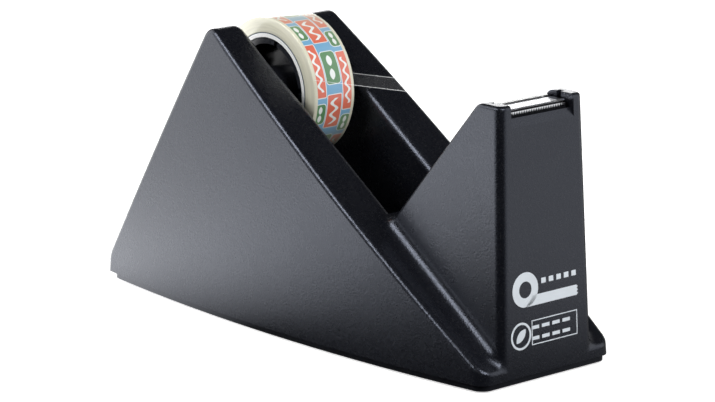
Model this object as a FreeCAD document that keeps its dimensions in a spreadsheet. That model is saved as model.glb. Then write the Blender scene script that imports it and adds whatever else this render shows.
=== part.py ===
"""Weighted desk tape dispenser: a wedge-shaped housing, its ballast, base, cutter and tape roll.

Frame: +X runs from the low rear toe to the cutter, +Z is up and Y runs across the dispenser.
The origin is on the desk, under the middle of the housing. Lengths are in millimetres.
"""
import FreeCAD, Part
import Sketcher

import os
import re

from FreeCAD import Vector

# Driving sizes: alias, value, meaning. Lengths are millimetres, angles are degrees.
DRIVING_SIZES = [
    ("length", 143.0, "housing, toe to front face, at the desk"),
    ("half_width_mid", 26.2, "bulge of each cheek from the middle plane, at desk level"),
    ("half_width_rear", 20.7, "half width at the toe, at desk level"),
    ("half_width_front", 21.6, "half width at the front, at desk level"),
    ("side_draft", 4.1, "lean of the cheeks towards the middle plane"),
    ("front_lean", 2.7, "lean of the front face"),
    ("rear_slope", 58.1, "angle of the rear slope"),
    ("diagonal_slope", 34.5, "angle of the diagonal, from the top edge down to the front lip"),
    ("toe_height", 6.6, "top of the upright strip at the rear"),
    ("lip_height", 4.7, "top of the low lip at the front"),
    ("apex_radius", 4.0, "rounding along the top edge"),
    ("toe_radius", 6.0, "rounding where the rear slope meets the upright strip"),
    ("front_corner_radius", 4.0, "rounding of the upright front corners"),
    ("rim_radius", 1.5, "rounding of the outer rim and the rear corners"),
    ("rim_inner_radius", 2.5, "rounding of the rim towards the tape well"),
    ("shell_wall", 2.2, "general wall of the moulding"),
    ("rear_wall", 3.2, "wall between the tape well and the rear slope"),
    ("plate_lift", 0.5, "gap under the base plate's edge"),
    ("plate_thickness", 1.6, "base plate"),
    ("plate_inset", 1.0, "step between the housing and the base plate"),
    ("mat_thickness", 1.0, "anti-slip mat"),
    ("mat_inset", 4.0, "strip of base plate left round the mat"),
    ("mat_corner_radius", 2.0, "rounding of the mat's corners"),
    ("mat_gap", 0.1, "play between the mat and its recess"),
    ("well_half", 10.5, "half width of the tape well"),
    ("well_wall", 3.0, "wall between the tape well and a cheek's cavity"),
    ("well_floor", 13.0, "height of the well's floor"),
    ("opening_drop", 38.0, "length of the rear opening, down the rear slope from the apex"),
    ("opening_radius", 5.0, "rounding of the rear opening's lower corners"),
    ("tower_half_floor", 15.2, "half width of the cutter tower at desk level"),
    ("tower_draft", 1.3, "lean of the tower's sides"),
    ("tower_foot", 40.5, "front face back to where the tower's rear slope leaves the diagonal"),
    ("tower_slope", 49.3, "angle of the tower's rear slope"),
    ("tower_height", 66.9, "top of the ears beside the cutter"),
    ("tower_corner_radius", 2.2, "rounding of the tower's upright front corners"),
    ("tower_crest_radius", 3.0, "rounding between the tower's rear slope and its top"),
    ("tower_edge_radius", 1.0, "rounding of the tower's other rear and top edges"),
    ("ledge_fillet", 3.5, "hollow rounding between the tower and the ledges"),
    ("saddle_half", 10.2, "half width between the ears"),
    ("saddle_floor", 60.2, "height of the shelf that the cutter insert stands on"),
    ("sill_height", 61.6, "front edge of the bevel under the blade"),
    ("sill_rise", 2.0, "rise of the bevel"),
    ("sill_depth", 1.2, "run of the bevel"),
    ("insert_gap", 0.1, "play between the cutter insert and the housing"),
    ("insert_top", 65.7, "top of the insert's rear ridge"),
    ("ridge_width", 1.5, "top of the ridge"),
    ("ridge_overhang", 0.7, "hook of the ridge over the blade"),
    ("insert_front_gap", 1.3, "gap between the insert's nose and the bevel"),
    ("insert_toe_height", 2.5, "low front step of the insert"),
    ("lug_width", 1.2, "locking lug on each end of the insert"),
    ("lug_depth", 1.1, "reach of a lug into the ear"),
    ("lug_height", 3.0, "height of a lug"),
    ("blade_end_gap", 0.7, "gap between each end of the blade and the ear beside it"),
    ("blade_thickness", 0.4, "blade"),
    ("blade_seat", 65.0, "height of the blade's seat"),
    ("blade_drop", 1.35, "depth of the blade's front flange"),
    ("blade_nose_gap", 0.05, "gap between the insert's nose and the front flange"),
    ("tooth_pitch", 0.7, "blade teeth"),
    ("tooth_depth", 0.5, "blade teeth"),
    ("notch_mouth", 0.63, "gap between two teeth at their tips"),
    ("notch_root", 0.14, "gap between two teeth at their roots"),
    ("hub_along", 15.7, "roll centre from the top edge, along the diagonal"),
    ("hub_depth", 10.7, "roll centre below the diagonal"),
    ("trunnion_radius", 5.45, "journal on each end of the hub"),
    ("trunnion_gap", 0.05, "radial running clearance of a journal in its channel"),
    ("channel_depth", 1.6, "channel in each wall of the well"),
    ("channel_flare", 1.4, "widening of a channel's mouth, each side"),
    ("channel_flare_depth", 3.0, "depth of the widened mouth"),
    ("trunnion_end_gap", 0.2, "end play of the hub"),
    ("hub_half", 6.2, "half length of the hub's drum"),
    ("hub_wall", 1.5, "drum of the hub"),
    ("hub_web", 1.6, "disc inside the drum"),
    ("slit_width", 1.1, "slits between the hub's spring fingers"),
    ("slit_depth", 4.4, "length of a slit from the drum's end"),
    ("slit_count", 5, "slits round each end of the drum"),
    ("slit_turn", 5.0, "first slit above the horizontal"),
    ("core_inner_radius", 13.0, "bore of the roll's core"),
    ("hub_gap", 0.15, "radial play of the core on the hub"),
    ("core_wall", 1.0, "roll core"),
    ("liner_thickness", 0.15, "printed liner round the core"),
    ("roll_radius", 18.0, "outside of the tape winding"),
    ("roll_width", 13.1, "tape"),
    ("strip_thickness", 0.12, "drawn length of tape, with its adhesive"),
    ("strip_peel_angle", 15.0, "where the tape leaves the roll, above the horizontal"),
    ("strip_gap", 0.15, "gap between the strip and what it passes over"),
    ("cavity_end_wall", 3.0, "end walls of the cheeks' cavities"),
    ("ballast_gap", 0.4, "gap round the ballast"),
    ("ballast_end_gap", 22.0, "room left at the ends for the screw bosses"),
    ("ballast_lift", 0.1, "gap between the ballast and the base plate"),
    ("screw_inset_rear", 14.0, "rear screws from the toe"),
    ("screw_inset_front", 21.0, "front screws from the front face"),
    ("screw_radius", 1.45, "screw shank"),
    ("screw_head_radius", 2.8, "screw head"),
    ("screw_head_height", 1.6, "countersunk screw head"),
    ("screw_length", 8.0, "screw under its head"),
    ("screw_gap", 0.05, "radial gap round the shank and the head"),
    ("boss_radius", 3.2, "screw boss"),
    ("boss_height", 12.0, "top of the screw bosses"),
    ("bore_end", 1.0, "solid end above the bore of a boss"),
    ("pad_height", 1.0, "pads round the screws on the base plate"),
    ("pad_gap", 0.1, "play between a pad and the recess in the housing"),
    ("boss_bite", 0.7, "how far a screw boss and its pad reach into the well's wall"),
    ("trim", 1.0, "extra stock that a later cut takes off"),
]

# Sizes that follow from the driving ones.
DERIVED_SIZES = [
    ("slope_sin", "sin(rear_slope)"),
    ("slope_cos", "cos(rear_slope)"),
    ("draft", "tan(side_draft)"),
    ("lean", "tan(front_lean)"),
    ("housing_floor", "plate_lift + plate_thickness"),
    ("fall_sin", "sin(diagonal_slope)"),
    ("fall_cos", "cos(diagonal_slope)"),
    ("rise", "slope_sin / slope_cos"),
    ("fall", "fall_sin / fall_cos"),
    ("apex_run", "(lip_height - toe_height + length * fall) / (rise + fall)"),
    ("apex_x", "apex_run - length / 2"),
    ("apex_z", "toe_height + apex_run * rise"),
    ("apex_spread", "1 + slope_cos * fall_cos - slope_sin * fall_sin"),
    ("cheek_bulge", "half_width_mid - (half_width_rear + half_width_front) / 2"),
    ("cheek_radius", "length * length / (8 * cheek_bulge) + cheek_bulge / 2"),
    ("bulge_x", "cheek_radius * (half_width_front - half_width_rear) / length"),
    ("hub_x", "apex_x + hub_along * fall_cos - hub_depth * fall_sin"),
    ("hub_z", "apex_z - hub_along * fall_sin - hub_depth * fall_cos"),
    ("channel_half", "trunnion_radius + trunnion_gap"),
    ("hub_radius", "core_inner_radius - hub_gap"),
    ("core_radius", "core_inner_radius + core_wall"),
    ("liner_radius", "core_radius + liner_thickness"),
    ("tower_rise", "sin(tower_slope) / cos(tower_slope)"),
    ("foot_x", "length / 2 - tower_foot"),
    ("foot_z", "lip_height + tower_foot * fall"),
    ("tower_shear", "tan(tower_draft)"),
    ("blade_half", "saddle_half - blade_end_gap"),
    ("blade_top", "blade_seat + blade_thickness"),
    ("nose_x", "length / 2 - lean * blade_seat - sill_depth - insert_front_gap"),
    ("ridge_x", "foot_x + (insert_top - foot_z) / tower_rise + ridge_width"),
    ("lug_x", "(nose_x + ridge_x) / 2"),
    ("rear_screw_x", "screw_inset_rear - length / 2"),
    ("front_screw_x", "length / 2 - screw_inset_front"),
    ("screw_half_spread", "well_half + well_wall + boss_radius - boss_bite"),
    ("boss_floor", "housing_floor + pad_height"),
    ("screw_neck", "mat_thickness + screw_head_height"),
    ("tooth_count", "floor(2 * blade_half / tooth_pitch)"),
    ("blade_front", "nose_x + blade_nose_gap + blade_thickness"),
    ("blade_tip", "blade_top - blade_drop"),
]

# How near, in millimetres, an edge must be to a face of the form to count as lying on it.
NEAR = 0.05

# Degrees that each cheek's cone is turned through, enough to pass both ends of the housing.
CONE_SWEEP = 40

ALIASES = {row[0] for row in DRIVING_SIZES} | {row[0] for row in DERIVED_SIZES}
NODES = []


def linked(expression):
    """Return the expression with every size name pointing at its cell in the sheet."""
    return re.sub(r"[a-z_]+", lambda word: "sizes." + word[0] if word[0] in ALIASES else word[0],
                  expression)


def make_sheet(doc):
    """Write the driving sizes as plain numbers and the derived ones as formulas."""
    sheet = doc.addObject("Spreadsheet::Sheet", "sizes")
    for row, (alias, value, meaning) in enumerate(DRIVING_SIZES, start=1):
        sheet.set(f"A{row}", alias)
        sheet.set(f"B{row}", str(value))
        sheet.set(f"C{row}", meaning)
        sheet.setAlias(f"B{row}", alias)
    for row, (alias, formula) in enumerate(DERIVED_SIZES, start=len(DRIVING_SIZES) + 1):
        sheet.set(f"A{row}", alias)
        sheet.set(f"B{row}", "=" + formula)
        sheet.setAlias(f"B{row}", alias)
    doc.recompute()
    return sheet


def new_body(doc, label):
    """Add a PartDesign body."""
    body = doc.addObject("PartDesign::Body", label)
    body.Label = label
    return body


def origin_feature(body, role):
    """Return one of the body's origin planes or axes."""
    return [item for item in body.Origin.OriginFeatures if item.Role == role][0]


def new_sketch(body, role, lift="0"):
    """Add a sketch on one of the body's origin planes, lifted along the plane's normal."""
    sketch = body.newObject("Sketcher::SketchObject", "sketch")
    sketch.AttachmentSupport = [(origin_feature(body, role), "")]
    sketch.MapMode = "FlatFace"
    sketch.setExpression("AttachmentOffset.Base.z", linked(lift))
    return sketch


def value_of(sketch, expression):
    """Evaluate a size expression to a number."""
    return float(sketch.evalExpression(linked(expression)))


def constrain(sketch, kind, geometry, point, expression):
    """Fix one coordinate of a point of the sketch to an expression."""
    value = value_of(sketch, expression)
    index = sketch.addConstraint(Sketcher.Constraint(kind, -1, 1, geometry, point, value))
    sketch.setExpression(f"Constraints[{index}]", linked(expression))


def draw_outline(sketch, corners, bulges=None):
    """Draw a closed outline, anticlockwise, through corners given as pairs of expressions.

    bulges maps a corner's index to the radius of the outward arc that starts there.
    """
    bulges = bulges or {}
    places = [Vector(value_of(sketch, x), value_of(sketch, y), 0) for x, y in corners]
    edges = []
    for index, start in enumerate(places):
        end = places[(index + 1) % len(places)]
        if index in bulges:
            radius = value_of(sketch, bulges[index])
            chord = end - start
            sagitta = radius - (radius ** 2 - (chord.Length / 2) ** 2) ** 0.5
            outward = Vector(chord.y, -chord.x, 0).normalize()
            middle = (start + end) / 2 + outward * sagitta
            edges.append(sketch.addGeometry(Part.Arc(start, middle, end)))
        else:
            edges.append(sketch.addGeometry(Part.LineSegment(start, end)))
    for index, edge in enumerate(edges):
        following = edges[(index + 1) % len(edges)]
        sketch.addConstraint(Sketcher.Constraint("Coincident", edge, 2, following, 1))
    for edge, (x, y) in zip(edges, corners):
        constrain(sketch, "DistanceX", edge, 1, x)
        constrain(sketch, "DistanceY", edge, 1, y)
    for index, radius in bulges.items():
        place = sketch.addConstraint(
            Sketcher.Constraint("Radius", edges[index], value_of(sketch, radius)))
        sketch.setExpression(f"Constraints[{place}]", linked(radius))


def draw_circle(sketch, x, y, radius):
    """Draw a circle whose centre and radius are expressions."""
    centre = Vector(value_of(sketch, x), value_of(sketch, y), 0)
    circle = sketch.addGeometry(
        Part.Circle(centre, Vector(0, 0, 1), value_of(sketch, radius)))
    constrain(sketch, "DistanceX", circle, 3, x)
    constrain(sketch, "DistanceY", circle, 3, y)
    place = sketch.addConstraint(
        Sketcher.Constraint("Radius", circle, value_of(sketch, radius)))
    sketch.setExpression(f"Constraints[{place}]", linked(radius))


def draw_axis(sketch, x, height):
    """Draw an upright construction line at x, to turn the sketch about."""
    place = value_of(sketch, x)
    line = sketch.addGeometry(
        Part.LineSegment(Vector(place, 0, 0), Vector(place, value_of(sketch, height), 0)), True)
    constrain(sketch, "DistanceX", line, 1, x)
    constrain(sketch, "DistanceY", line, 1, "0")
    constrain(sketch, "DistanceX", line, 2, x)
    constrain(sketch, "DistanceY", line, 2, height)


def rectangle(x_low, x_high, y_low, y_high):
    """Return the four corners of a rectangle, anticlockwise."""
    return [(x_low, y_low), (x_high, y_low), (x_high, y_high), (x_low, y_high)]


def pad(body, sketch, length, symmetric=False):
    """Pad a sketch along its normal, or half to each side."""
    feature = body.newObject("PartDesign::Pad", "pad")
    feature.Profile = (sketch, [""])
    feature.SideType = "Symmetric" if symmetric else "One side"
    feature.setExpression("Length", linked(length))
    body.Document.recompute()
    return feature


def pocket(body, sketch, length, symmetric=False, along_normal=False):
    """Cut a sketch out of the body, and make sure that the cut removes something."""
    before = body.Shape.Volume
    feature = body.newObject("PartDesign::Pocket", "pocket")
    feature.Profile = (sketch, [""])
    feature.SideType = "Symmetric" if symmetric else "One side"
    feature.Reversed = along_normal
    feature.setExpression("Length", linked(length))
    body.Document.recompute()
    if body.Shape.isNull() or body.Shape.Volume > before - 1e-3:
        raise RuntimeError(f"a pocket of {body.Label} removes nothing")
    return feature


def groove(body, sketch, angle):
    """Turn a sketch about its construction line and cut that out of the body."""
    before = body.Shape.Volume
    feature = body.newObject("PartDesign::Groove", "groove")
    feature.Profile = (sketch, [""])
    feature.ReferenceAxis = (sketch, ["Axis0"])
    feature.Midplane = True
    feature.Angle = angle
    body.Document.recompute()
    if body.Shape.isNull() or body.Shape.Volume > before - 1e-3:
        raise RuntimeError(f"a groove of {body.Label} removes nothing")
    return feature


def revolve(body, sketch):
    """Turn a sketch all the way about the body's own Y axis."""
    feature = body.newObject("PartDesign::Revolution", "revolution")
    feature.Profile = (sketch, [""])
    feature.ReferenceAxis = (sketch, ["V_Axis"])
    feature.Angle = 360
    body.Document.recompute()
    return feature


def round_edges(body, chosen, radius):
    """Fillet the edges of the body that the chosen test accepts."""
    names = [f"Edge{index}" for index, edge in enumerate(body.Shape.Edges, start=1)
             if chosen(edge)]
    if not names:
        raise RuntimeError(f"{body.Label} has no edge to round")
    base = body.Tip
    feature = body.newObject("PartDesign::Fillet", "fillet")
    feature.Base = (base, names)
    feature.setExpression("Radius", linked(radius))
    body.Document.recompute()
    if body.Shape.isNull() or not body.Shape.isValid():
        raise RuntimeError(f"a fillet of {body.Label} fails")
    return feature


def combine(body, kind, tools):
    """Fuse other bodies to this one, or cut them out of it."""
    feature = body.newObject("PartDesign::Boolean", "boolean")
    feature.Type = kind
    feature.setObjects(tools)
    body.Document.recompute()
    return feature


def middle(edge):
    """Return the point halfway along an edge."""
    return edge.valueAt((edge.FirstParameter + edge.LastParameter) / 2)


def plan_sketch(body, height, inset):
    """Sketch the housing's plan with upright sides: straight ends and bulging sides, moved in."""
    sketch = new_sketch(body, "XY_Plane", height)
    rear = f"{inset} - length / 2"
    front = f"length / 2 - ({inset})"
    rear_half = f"half_width_rear - ({inset})"
    front_half = f"half_width_front - ({inset})"
    corners = [(rear, f"-({rear_half})"), (front, f"-({front_half})"),
               (front, front_half), (rear, rear_half)]
    draw_outline(sketch, corners, {0: "cheek_radius", 2: "cheek_radius"})
    return sketch


def roof_corners(inset):
    """Return the outline of everything above the roof, moved inwards by an inset."""
    apex_x = f"apex_x + ({inset}) * (slope_sin - fall_sin) / apex_spread"
    apex_z = f"apex_z - ({inset}) * (slope_cos + fall_cos) / apex_spread"
    return [
        (apex_x, apex_z),
        (f"{apex_x} + 2 * length * fall_cos", f"{apex_z} - 2 * length * fall_sin"),
        (f"{apex_x} + 2 * length * fall_cos", "apex_z + length"),
        (f"{apex_x} - 2 * length * slope_cos", "apex_z + length"),
        (f"{apex_x} - 2 * length * slope_cos", f"{apex_z} - 2 * length * slope_sin"),
    ]


def wedge(doc, label, floor, inset, end_inset, front_corner=None):
    """Make a body with the housing's outer form, moved inwards by an inset.

    The cheeks are parts of two upright cones, so that they bulge in plan and lean inwards.
    """
    body = new_body(doc, label)
    block = new_sketch(body, "XZ_Plane")
    draw_outline(block, [
        (f"{end_inset} - length / 2", floor),
        (f"length / 2 - lean * ({floor}) - ({end_inset})", floor),
        (f"length / 2 - lean * (apex_z + trim) - ({end_inset})", "apex_z + trim"),
        (f"{end_inset} - length / 2", "apex_z + trim"),
    ])
    pad(body, block, "2 * (half_width_mid + trim)", symmetric=True)
    half = f"(half_width_mid - ({inset}))"
    for side in (-1, 1):
        sketch = new_sketch(body, "YZ_Plane", "bulge_x")
        corners = [(f"{side} * {half}", "0"), (f"{side} * 2 * half_width_mid", "0"),
                   (f"{side} * 2 * half_width_mid", "apex_z + 2 * trim"),
                   (f"{side} * ({half} - draft * (apex_z + 2 * trim))", "apex_z + 2 * trim")]
        draw_outline(sketch, corners if side > 0 else corners[::-1])
        draw_axis(sketch, f"{side} * (half_width_mid - cheek_radius)", "apex_z")
        groove(body, sketch, CONE_SWEEP)
    if front_corner:
        round_edges(body, lambda edge: is_upright(edge) and middle(edge).x > 0, front_corner)
    roof = new_sketch(body, "XZ_Plane")
    draw_outline(roof, roof_corners(inset))
    pocket(body, roof, "4 * half_width_mid", symmetric=True)
    return body


def keep_one_cheek(body, side, inner):
    """Cut a wedge back to the part beyond y = inner on one side, +1 or -1."""
    sketch = new_sketch(body, "XZ_Plane", f"{-side} * ({inner})")
    draw_outline(sketch, rectangle("-length", "length", "-length", "2 * length"))
    pocket(body, sketch, "4 * half_width_mid", along_normal=side > 0)


def make_tower(doc, sheet):
    """Make the cutter tower: a drafted block with a rear slope, a saddle and two ears."""
    body = new_body(doc, "tower_block")
    profile = new_sketch(body, "XZ_Plane")
    buried_x = "foot_x - (foot_z - well_floor) / tower_rise"
    draw_outline(profile, [
        (buried_x, "housing_floor"),
        ("length / 2 - lean * housing_floor", "housing_floor"),
        ("length / 2 - lean * tower_height", "tower_height"),
        ("foot_x + (tower_height - foot_z) / tower_rise", "tower_height"),
        (buried_x, "well_floor"),
    ])
    pad(body, profile, "2 * (tower_half_floor + trim)", symmetric=True)
    for side in (-1, 1):
        sketch = new_sketch(body, "YZ_Plane")
        corners = [(f"{side} * tower_half_floor", "0"), (f"{side} * 2 * tower_half_floor", "0"),
                   (f"{side} * 2 * tower_half_floor", "tower_height + trim"),
                   (f"{side} * (tower_half_floor - tower_shear * (tower_height + trim))",
                    "tower_height + trim")]
        draw_outline(sketch, corners if side > 0 else corners[::-1])
        pocket(body, sketch, "2 * length", symmetric=True)
    round_edges(body, lambda edge: is_upright(edge) and middle(edge).x > sheet.foot_x,
                "tower_corner_radius")
    round_edges(body, lambda edge: is_crest(edge, sheet), "tower_crest_radius")
    round_edges(body, lambda edge: is_tower_rim(edge, sheet), "tower_edge_radius")
    saddle = new_sketch(body, "XZ_Plane")
    sill_x = "length / 2 - lean * sill_height"
    draw_outline(saddle, [
        (f"{sill_x} - sill_depth", "saddle_floor"),
        (f"{sill_x} - sill_depth", "sill_height + sill_rise"),
        (sill_x, "sill_height"),
        (f"{sill_x} + sill_depth", "sill_height"),
        (f"{sill_x} + sill_depth", "2 * tower_height"),
        ("0", "2 * tower_height"),
        ("0", "saddle_floor"),
    ])
    pocket(body, saddle, "2 * saddle_half", symmetric=True)
    notch = new_sketch(body, "XZ_Plane")
    draw_outline(notch, rectangle("lug_x - lug_width / 2 - insert_gap",
                                  "lug_x + lug_width / 2 + insert_gap",
                                  "insert_top - lug_height - 2 * insert_gap",
                                  "2 * tower_height"))
    pocket(body, notch, "2 * (saddle_half + lug_depth + insert_gap)", symmetric=True)
    return body


def is_upright(edge):
    """Tell whether a straight edge stands nearly upright."""
    return abs(edge.tangentAt(edge.FirstParameter).z) > 0.9


def slope_distance(place, sheet):
    """Return how far a point is from the tower's rear slope, along x."""
    return abs(place.x - sheet.foot_x - (place.z - sheet.foot_z) / sheet.tower_rise)


def is_crest(edge, sheet):
    """Tell whether an edge is the one between the tower's rear slope and its top."""
    place = middle(edge)
    return (slope_distance(place, sheet) < NEAR and abs(place.z - sheet.tower_height) < NEAR
            and edge.Length > sheet.tower_half_floor)


def is_tower_rim(edge, sheet):
    """Tell whether an edge borders the side faces' rear or the tower's top."""
    place = middle(edge)
    half = sheet.tower_half_floor - sheet.tower_shear * place.z
    on_side = abs(abs(place.y) - half) < NEAR and place.z > sheet.housing_floor + NEAR
    on_slope = slope_distance(place, sheet) < NEAR and on_side
    return on_slope or place.z > sheet.tower_height - sheet.tower_crest_radius


def inner_rear_x(height):
    """Return where the rear wall's inner face stands at a height."""
    return f"({height} - toe_height + rear_wall / slope_cos) / rise - length / 2"


def cut_well(body):
    """Cut the tape well between the cheeks, open at the top and through the rear slope."""
    drop_x = "apex_x - opening_drop * slope_cos"
    drop_z = "apex_z - opening_drop * slope_sin"
    sketch = new_sketch(body, "XZ_Plane")
    draw_outline(sketch, [
        ("foot_x - (foot_z - well_floor) / tower_rise", "well_floor"),
        ("foot_x + length / tower_rise", "foot_z + length"),
        ("-length", "foot_z + length"),
        (f"{drop_x} - length * slope_sin", f"{drop_z} + length * slope_cos"),
        (f"{drop_x} + rear_wall * slope_sin", f"{drop_z} - rear_wall * slope_cos"),
        (inner_rear_x("well_floor"), "well_floor"),
    ])
    pocket(body, sketch, "2 * well_half", symmetric=True)


def cut_channels(body):
    """Cut the hub's open channels into both walls of the well, square to the diagonal."""
    def place(along, out):
        return (f"hub_x + ({along}) * fall_cos + ({out}) * fall_sin",
                f"hub_z - ({along}) * fall_sin + ({out}) * fall_cos")

    flare = "channel_half + channel_flare"
    depth = "2 * (well_half + channel_depth)"
    sketch = new_sketch(body, "XZ_Plane")
    draw_outline(sketch, [
        place("-channel_half", "0"),
        place("channel_half", "0"),
        place("channel_half", "hub_depth - channel_flare_depth"),
        place(flare, "hub_depth"),
        place(flare, "2 * hub_depth"),
        place(f"-({flare})", "2 * hub_depth"),
        place(f"-({flare})", "hub_depth"),
        place("-channel_half", "hub_depth - channel_flare_depth"),
    ])
    pocket(body, sketch, depth, symmetric=True)
    seat = new_sketch(body, "XZ_Plane")
    draw_circle(seat, "hub_x", "hub_z", "channel_half")
    pocket(body, seat, depth, symmetric=True)


def hollow_out(doc, body):
    """Hollow the cheeks from below, and the space under the well and inside the tower."""
    sketch = new_sketch(body, "XZ_Plane")
    rear = inner_rear_x("well_floor - shell_wall")
    front = "length / 2 - shell_wall"
    roof = "saddle_floor - shell_wall"
    slope_gap = "shell_wall / sin(tower_slope)"
    draw_outline(sketch, [
        (rear, "0"),
        (front, "0"),
        (f"{front} - lean * ({roof})", roof),
        (f"foot_x + ({roof} - foot_z) / tower_rise + {slope_gap}", roof),
        (f"foot_x - (foot_z - well_floor + shell_wall) / tower_rise + {slope_gap}",
         "well_floor - shell_wall"),
        (rear, "well_floor - shell_wall"),
    ])
    pocket(body, sketch, "2 * well_half", symmetric=True)
    cavities = []
    for side, name in ((-1, "right"), (1, "left")):
        cavity = wedge(doc, f"cavity_{name}", "0", "shell_wall", "cavity_end_wall")
        keep_one_cheek(cavity, side, "well_half + well_wall")
        cavities.append(cavity)
    combine(body, "Cut", cavities)


def screw_places():
    """Return the four screws' x and y as expressions."""
    return [(x, f"{side} * screw_half_spread") for x in ("rear_screw_x", "front_screw_x")
            for side in (-1, 1)]


def add_bosses(body):
    """Add the four screw bosses, bore them and clear the base plate's pads below them."""
    clear = new_sketch(body, "XY_Plane", "housing_floor")
    for x, y in screw_places():
        draw_circle(clear, x, y, "boss_radius + pad_gap")
    pocket(body, clear, "pad_height", along_normal=True)
    sketch = new_sketch(body, "XY_Plane", "boss_floor")
    for x, y in screw_places():
        draw_circle(sketch, x, y, "boss_radius")
    pad(body, sketch, "boss_height - boss_floor")
    bores = new_sketch(body, "XY_Plane", "boss_floor")
    for x, y in screw_places():
        draw_circle(bores, x, y, "screw_radius + screw_gap")
    pocket(body, bores, "boss_height - boss_floor - bore_end", along_normal=True)


def make_cheeks(doc, sheet, label):
    """Make the housing's outer form without the tower, with its edges rounded."""
    body = wedge(doc, label, "housing_floor", "0", "0", "front_corner_radius")
    rear, front = -sheet.length / 2, sheet.length / 2
    above_floor = sheet.housing_floor + NEAR
    round_edges(body, lambda edge: middle(edge).z > sheet.apex_z - NEAR, "apex_radius")
    round_edges(body, lambda edge: edge.Length > sheet.half_width_rear
                and abs(middle(edge).x - rear) < NEAR and middle(edge).z > above_floor,
                "toe_radius")
    round_edges(body, lambda edge: abs(middle(edge).y) > sheet.well_half
                and abs(middle(edge).x) < front / 2 and middle(edge).z > above_floor,
                "rim_radius")
    return body


def make_well_void(doc, sheet):
    """Make what the tape well takes out of the cheeks, with the rounding of its rim."""
    welled = make_cheeks(doc, sheet, "welled_cheeks")
    cut_well(welled)
    round_edges(welled, lambda edge: is_opening_corner(edge, sheet), "opening_radius")
    round_edges(welled, lambda edge: is_well_rim(edge, sheet), "rim_inner_radius")
    void = make_cheeks(doc, sheet, "well_void")
    combine(void, "Cut", [welled])
    return void


def make_housing(doc, sheet):
    """Make the one-piece housing: two hollow cheeks, the tape well and the cutter tower."""
    body = make_cheeks(doc, sheet, "housing")
    combine(body, "Fuse", [make_tower(doc, sheet)])
    round_edges(body, lambda edge: is_ledge_corner(edge, sheet), "ledge_fillet")
    combine(body, "Cut", [make_well_void(doc, sheet)])
    cut_channels(body)
    hollow_out(doc, body)
    add_bosses(body)
    NODES.append(body)
    return body


def roof_distance(place, sheet):
    """Return how far a point is above or below the diagonal roof of the cheeks."""
    return abs(place.z - sheet.lip_height - (sheet.length / 2 - place.x) * sheet.fall)


def is_ledge_corner(edge, sheet):
    """Tell whether an edge is the hollow corner between the tower and a ledge."""
    place = middle(edge)
    half = sheet.tower_half_floor - sheet.tower_shear * place.z
    return (roof_distance(place, sheet) < NEAR and abs(abs(place.y) - half) < NEAR
            and edge.Length > sheet.tower_foot / 2)


def is_opening_corner(edge, sheet):
    """Tell whether an edge is a lower corner of the rear opening, through the rear wall."""
    place = middle(edge)
    return (abs(abs(place.y) - sheet.well_half) < NEAR
            and abs(edge.Length - sheet.rear_wall) < NEAR
            and abs(edge.tangentAt(edge.FirstParameter).x) > sheet.slope_sin - NEAR)


def is_well_rim(edge, sheet):
    """Tell whether an edge runs along the well's wall on the diagonal roof of a cheek."""
    place = middle(edge)
    return abs(abs(place.y) - sheet.well_half) < NEAR and roof_distance(place, sheet) < NEAR


def make_ballast(doc):
    """Make the two cast ballast blocks that fill the cheeks' cavities."""
    for side, label in ((-1, "ballast_right"), (1, "ballast_left")):
        body = wedge(doc, label, "housing_floor + ballast_lift", "shell_wall + ballast_gap",
                     "cavity_end_wall + ballast_end_gap")
        keep_one_cheek(body, side, "well_half + well_wall + ballast_gap")
        NODES.append(body)


def make_base_plate(doc):
    """Make the base plate: a recess for the mat below, pads and countersunk holes for screws."""
    body = new_body(doc, "base_plate")
    pad(body, plan_sketch(body, "plate_lift", "plate_inset"), "plate_thickness")
    round_edges(body, is_upright, "front_corner_radius - plate_inset")
    pads = new_sketch(body, "XY_Plane", "housing_floor")
    for x, y in screw_places():
        draw_circle(pads, x, y, "boss_radius")
    pad(body, pads, "pad_height")
    recess = plan_sketch(body, "plate_lift", "plate_inset + mat_inset - mat_gap")
    pocket(body, recess, "mat_thickness - plate_lift", along_normal=True)
    holes = new_sketch(body, "XY_Plane")
    for x, y in screw_places():
        draw_circle(holes, x, y, "screw_radius + screw_gap")
    pocket(body, holes, "boss_floor", along_normal=True)
    for x, y in screw_places():
        sink = body.newObject("PartDesign::SubtractiveCone", "countersink")
        bind(sink, {"Radius1": "screw_head_radius + screw_gap",
                    "Radius2": "screw_radius + screw_gap", "Height": "screw_head_height",
                    "Placement.Base.x": x, "Placement.Base.y": y,
                    "Placement.Base.z": "mat_thickness"})
        doc.recompute()
    NODES.append(body)


def make_mat(doc):
    """Make the anti-slip mat that the dispenser stands on."""
    body = new_body(doc, "anti_slip_mat")
    pad(body, plan_sketch(body, "0", "plate_inset + mat_inset"), "mat_thickness")
    round_edges(body, is_upright, "mat_corner_radius")
    NODES.append(body)


def make_screws(doc):
    """Make the four countersunk screws, one group."""
    screws = []
    for x, y in screw_places():
        head = doc.addObject("Part::Cone", "screw_head")
        bind(head, {"Radius1": "screw_head_radius", "Radius2": "screw_radius",
                    "Height": "screw_head_height", "Placement.Base.x": x,
                    "Placement.Base.y": y, "Placement.Base.z": "mat_thickness"})
        shank = doc.addObject("Part::Cylinder", "screw_shank")
        bind(shank, {"Radius": "screw_radius", "Height": "screw_length",
                     "Placement.Base.x": x, "Placement.Base.y": y,
                     "Placement.Base.z": "screw_neck"})
        screw = doc.addObject("Part::Fuse", "screw")
        screw.Base = head
        screw.Tool = shank
        screws.append(screw)
    group = doc.addObject("Part::Compound", "base_screws")
    group.Label = "base_screws"
    group.Links = screws
    doc.recompute()
    NODES.append(group)


def bind(item, sizes):
    """Bind properties of an object to size expressions."""
    for name, expression in sizes.items():
        item.setExpression(name, linked(expression))


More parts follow.
